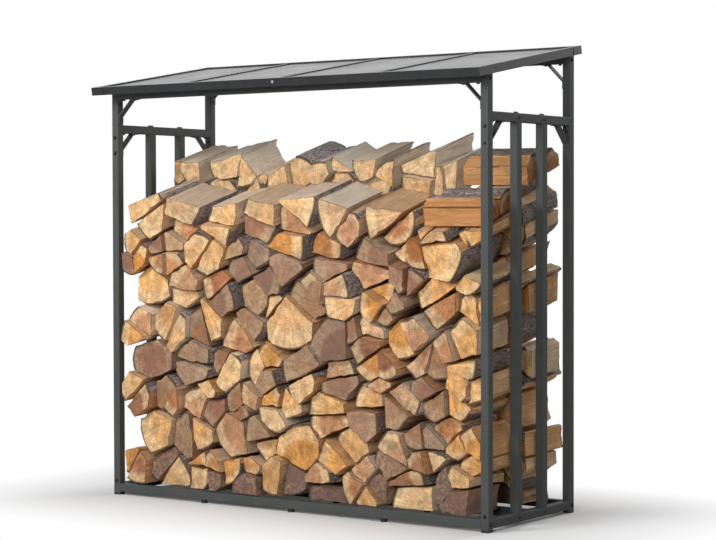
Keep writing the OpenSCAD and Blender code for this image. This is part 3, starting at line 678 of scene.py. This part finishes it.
def measured_log(group, dice, in_back_row):
    """Directions, sizes, colour and cut of one log, whose faces get their materials here."""
    longest = max((e for v in group for e in v.link_edges), key=lambda e: e.calc_length())
    along = (longest.verts[1].co - longest.verts[0].co).normalized()
    along = along if max(along, key=abs) > 0 else -along
    axis = 0 if along.x > 0.8 else 1
    if axis == 0:
        up = -next(f.normal for v in group for f in v.link_faces if f.normal.z < -0.8)
    else:
        up = (Vector((0, 0, 1)) - along * along.z).normalized()
    across = along.cross(up)
    faces = list(dict.fromkeys(f for v in group for f in v.link_faces))
    ends = sorted((f for f in faces if abs(f.normal.dot(along)) > 0.8),
                  key=lambda f: f.normal.dot(along))
    corners = list(ends[0].verts)
    outline = [Vector((v.co.dot(across), v.co.dot(up))) for v in corners]
    if sum(p.x * q.y - p.y * q.x for p, q in zip(outline, outline[1:] + outline[:1])) < 0:
        outline.reverse()
        corners.reverse()
    pith, bark_r, bark_edges = bark_arc(outline)
    middle = sum(outline, Vector((0, 0))) / len(outline)
    on_bark = {frozenset((corners[k], corners[(k + 1) % len(corners)])) for k in bark_edges}
    for face in faces:
        if face in ends:
            face.material_index = end_slot
        elif any(frozenset(e.verts) in on_bark for e in face.edges):
            face.material_index = bark_slot
        else:
            face.material_index = split_slot
    # A log without bark has its pith at its farthest corner and is heartwood all through.
    if pith is None:
        pith = max(outline, key=lambda p: (p - middle).length)
        bark_r = 0.3
    height = min(v.co.z for v in group)
    # Logs at the right end get brighter colours, a painted light on that end of the stack
    right_end = 0.74
    at_right = 1 if middle.dot(Vector((across.x, up.x))) > right_end else 0
    # Above its lowest course the back row's rear ends stand back less, so that the row reaches
    # the rear posts.
    lowest_course = 0.05
    rear_play = 0.008 if height > lowest_course and in_back_row else 0.02
    return {
        "along": along, "across": across, "up": up, "axis": axis,
        "low": min(v.co[axis] for v in group), "high": max(v.co[axis] for v in group),
        "middle": middle, "pith": pith, "bark_r": bark_r,
        "size": sum((p - middle).length for p in outline) / len(outline),
        "reach": max((p - middle).length for p in outline),
        "look": log_tint(dice, axis == 0, height, at_right),
        "shift": Vector([dice.uniform(-50, 50) for _ in range(3)]),
        "shrink": dice.uniform(shrink_least, shrink_most),
        "back": (dice.random() ** 1.5 * front_play, dice.random() ** 2 * rear_play),
        "slope": [[dice.uniform(-end_slant, end_slant) for _ in range(2)] for _ in range(2)],
        "lean": [dice.uniform(-log_lean, log_lean) for _ in range(2)]}


def worked_vert(vert, log, share):
    """Where a vertex of the log goes, and its place in the log's grain. The share tells how
    far in from the rim of a sawn end it lies."""
    along, across, up = log["along"], log["across"], log["up"]
    span = log["high"] - log["low"]
    t = (vert.co[log["axis"]] - log["low"]) / span
    here = Vector((vert.co.dot(across), vert.co.dot(up)))
    from_middle = here - log["middle"]
    length_at = vert.co.dot(along)
    grain = Vector((here.x - log["pith"].x, length_at, here.y - log["pith"].y))
    out = vert.normal - along * vert.normal.dot(along)
    if share > 0:
        out = across * from_middle.x + up * from_middle.y
    if out.length > 0.001:
        out.normalize()

    # Relief of the bark and the split faces
    p = grain + log["shift"]
    slots = {f.material_index for f in vert.link_faces}
    *layers, most, sunk = bark_relief if bark_slot in slots else split_relief
    rough = sum(high * noise.noise(Vector((p.x * wide, p.y * far, p.z * wide)))
                for high, wide, far in layers)
    rough = min(rough, most) - sunk

    # The sawn ends: set back, aslant, uneven, and worn round along the rim
    half = 0 if t < 0.5 else 1
    slope = log["slope"][half]
    face_in = log["back"][half] + slope[0] * from_middle.x + slope[1] * from_middle.y
    face_in += log["reach"] * (abs(slope[0]) + abs(slope[1])) * 0.7 + 0.001
    if end_slot in slots:
        face_in += end_unevenness * noise.noise(p * 50)
        if share < 1:
            wear = rim_wear + rim_wear_play * noise.noise(p * 90)
            face_in += wear * (1 - 1.6 * share)
    face_in = max(face_in, 0) * abs(2 * t - 1)

    # The outline: shrunk a little, and leaning along the log
    slimmer = log["shrink"] / log["size"] + loop_in[share] / from_middle.length
    moved = here - from_middle * slimmer
    bow = (t - 0.5) * span
    place = across * (moved.x + log["lean"][0] * bow) + up * (moved.y + log["lean"][1] * bow)
    place += along * (length_at + (face_in if half == 0 else -face_in)) + out * rough
    return place, grain


def split_logs(node_name, seed):
    """The logs of one CAD node, with their ends, split faces and bark worked up."""
    dice = random.Random(seed)
    bm = bmesh.new()
    bm.from_mesh(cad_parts[node_name].data)
    bmesh.ops.remove_doubles(bm, verts=bm.verts, dist=0.00002)
    bmesh.ops.dissolve_limit(
        bm, angle_limit=math.radians(0.7), verts=bm.verts, edges=bm.edges)
    owner = bm.verts.layers.float.new("owner")
    grain_at = bm.verts.layers.float_vector.new("grain_at")
    log_look = bm.verts.layers.float_color.new("log_look")
    bark_at = bm.verts.layers.float.new("bark_r")
    inner = bm.verts.layers.float.new("inner")
    logs, seen = [], set()
    for start in bm.verts:
        if start not in seen:
            group = linked_verts(start, seen)
            for vert in group:
                vert[owner] = len(logs)
            logs.append(measured_log(group, dice, "back" in node_name))

    def runs_along(edge):
        span = (edge.verts[1].co - edge.verts[0].co).normalized()
        return abs(span.dot(logs[round(edge.verts[0][owner])]["along"])) > 0.9

    # Corners rounded, then ends opened, so that cuts along and around give an even mesh
    corners = [e for e in bm.edges if e.calc_face_angle(0) > corner_angle
               and all(f.material_index != end_slot for f in e.link_faces)]
    bmesh.ops.bevel(
        bm, geom=corners, offset=log_corner, offset_type="OFFSET", segments=2, profile=0.5,
        affect="EDGES", clamp_overlap=True, material=-1)
    ends = [f for f in bm.faces if f.material_index == end_slot]
    bmesh.ops.delete(bm, geom=ends, context="FACES_ONLY")
    for edge in bm.edges:
        if len(edge.link_faces) == 1 or edge.calc_face_angle(0) > hard_angle:
            edge.smooth = False
    lengthwise = [e for e in bm.edges if runs_along(e)]
    bmesh.ops.subdivide_edges(bm, edges=lengthwise, cuts=lengthwise_cuts, use_grid_fill=True)
    by_cuts = {}
    for edge in bm.edges:
        cuts = int(edge.calc_length() / girth_step)
        if cuts and not runs_along(edge):
            by_cuts.setdefault(cuts, []).append(edge)
    for cuts, edges in sorted(by_cuts.items()):
        bmesh.ops.subdivide_edges(bm, edges=edges, cuts=cuts, use_grid_fill=True)

    # The ends are closed again, each with two loops inside its rim
    rims = [e for e in bm.edges if len(e.link_faces) == 1]
    bmesh.ops.edgeloop_fill(bm, edges=rims, mat_nr=end_slot)
    ends = [f for f in bm.faces if f.material_index == end_slot]
    for share in (0.5, 1.0):
        bmesh.ops.inset_individual(bm, faces=ends, thickness=0)
        for face in ends:
            for vert in face.verts:
                vert[inner] = share

    bm.normal_update()
    places = []
    for vert in bm.verts:
        log = logs[round(vert[owner])]
        place, vert[grain_at] = worked_vert(vert, log, vert[inner])
        vert[log_look] = log["look"]
        vert[bark_at] = log["bark_r"]
        places.append(place)
    for vert, place in zip(bm.verts, places):
        vert.co = place
    for face in bm.faces:
        face.smooth = True
    bm.verts.layers.float.remove(owner)
    name = node_name.replace("firewood", "split_logs")
    stack = as_object(name, bm, [sawn_end, split_face, bark])
    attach(stack, "root")
    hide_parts(node_name)


for count, (row, layer) in enumerate((r, n) for r in ("front", "back") for n in (1, 2, 3, 4)):
    split_logs(f"firewood_{row}_{layer}", 100 + count)
